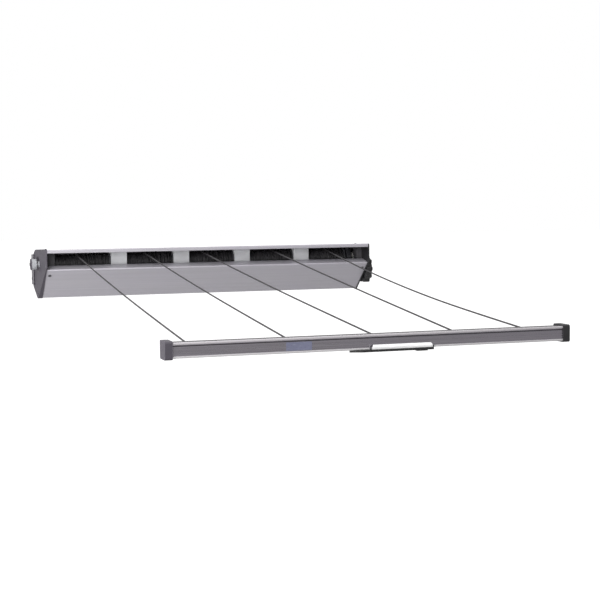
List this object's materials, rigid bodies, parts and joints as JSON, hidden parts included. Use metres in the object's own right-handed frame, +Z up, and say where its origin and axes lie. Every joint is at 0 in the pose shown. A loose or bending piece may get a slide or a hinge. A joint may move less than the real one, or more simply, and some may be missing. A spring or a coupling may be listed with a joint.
{
  "type": "retractable clothes airer",
  "caption": "Wall mounted retractable clothes airer: a sprung line roller in a slim cabinet, hand wheel at one end, lines to a pull-out front bar.",
  "frame": {"origin": "centre of the four wall screw holes, on the wall's surface", "axes": "+Z up, +Y into the wall, +X to the right seen from the room"},
  "size_m": [1.1075, 1.6581, 0.186],
  "materials": {
    "aluminium": "satin anodised",
    "tube_metal": "black enamel",
    "cap_grey": "moulded, fine texture",
    "cap_black": "moulded, fine texture",
    "bracket_paint": "powder coat",
    "fastener_dark": "blackened",
    "fastener_bright": "bright",
    "block_plastic": "moulded",
    "bush_plastic": "acetal",
    "guide_plastic": "moulded, light grey",
    "hub_plastic": "moulded",
    "gear_nylon": "nylon",
    "line_cord": "braided core in a soft sheath",
    "spring_steel": "drawn",
    "knob_light": "moulded, light grey",
    "wheel_black": "moulded",
    "ferrule_black": "moulded",
    "label_film": "blank printed film",
    "grip_steel": "polished stainless"
  },
  "bodies": {
    "cabinet": {"top_casing": "aluminium", "front_panel": "aluminium", "lip_rivet": "fastener_bright", "left_end_cap": "cap_grey", "right_end_cap": "cap_black", "wall_bracket_left": "bracket_paint", "wall_bracket_right": "bracket_paint", "cap_screws": "fastener_dark", "bracket_screws": "fastener_dark", "panel_screws": "fastener_dark", "left_bearing_block": "block_plastic", "right_bearing_block": "block_plastic", "left_bush": "bush_plastic", "right_bush": "bush_plastic", "shaft_bush": "bush_plastic", "line_guide_1": "guide_plastic", "line_guide_2": "guide_plastic", "line_guide_3": "guide_plastic", "line_guide_4": "guide_plastic"},
    "roller": {"roller_tube": "tube_metal", "roller_plug_left": "hub_plastic", "roller_plug_right": "hub_plastic", "spring_anchor_plate": "hub_plastic", "gear_key": "fastener_bright", "spool_flanges": "hub_plastic", "winding_1": "line_cord", "winding_2": "line_cord", "winding_3": "line_cord", "winding_4": "line_cord", "winding_5": "line_cord", "drive_gear": "gear_nylon", "return_spring": "spring_steel"},
    "adjuster": {"spring_arbor": "spring_steel", "spring_hub": "hub_plastic", "adjuster_collar": "knob_light", "adjuster_knob": "knob_light", "adjuster_dial": "cap_grey", "knob_screw": "fastener_dark"},
    "hand_wheel": {"pinion_shaft": "spring_steel", "pinion": "gear_nylon", "drag_washer": "bush_plastic", "drag_spring": "spring_steel", "hand_wheel": "wheel_black", "hand_wheel_screw": "fastener_dark"},
    "front_bar": {"bar_extrusion": "aluminium", "bar_cap_left": "cap_grey", "bar_cap_right": "cap_black", "bar_cap_screws": "fastener_dark", "blank_label": "label_film", "line_ferrules": "ferrule_black", "handle_base": "wheel_black", "handle_pin": "fastener_bright", "line_1": "line_cord", "line_2": "line_cord", "line_3": "line_cord", "line_4": "line_cord", "line_5": "line_cord"},
    "grip": {"grip_handle": "grip_steel"}
  },
  "joints": [
    {"name": "bar_slide", "type": "slide", "parent": "cabinet", "child": "front_bar", "axis": [-0.0217, -0.996, -0.0871], "range_m": [-1.4509, 4.5], "deforming": ["line_1", "line_2", "line_3", "line_4", "line_5"]},
    {"name": "roller_turn", "type": "hinge", "parent": "cabinet", "child": "roller", "pos_m": [0, -0.084, 0.019], "axis": [1, 0, 0], "continuous": true},
    {"name": "hand_wheel_turn", "type": "hinge", "parent": "cabinet", "child": "hand_wheel", "pos_m": [0.535, -0.117, -0.0179], "axis": [1, 0, 0], "continuous": true},
    {"name": "adjuster_turn", "type": "hinge", "parent": "cabinet", "child": "adjuster", "pos_m": [-0.545, -0.084, 0.019], "axis": [1, 0, 0], "continuous": true},
    {"name": "grip_fold", "type": "hinge", "parent": "front_bar", "child": "grip", "pos_m": [0.024, -1.6555, -0.1062], "axis": [1, 0, 0], "range_deg": [0, 95]}
  ],
  "couplings": [
    {"joint": "roller_turn", "follows": "bar_slide", "rad_per_m": 34.483},
    {"joint": "hand_wheel_turn", "follows": "bar_slide", "rad_per_m": -68.966}
  ]
}
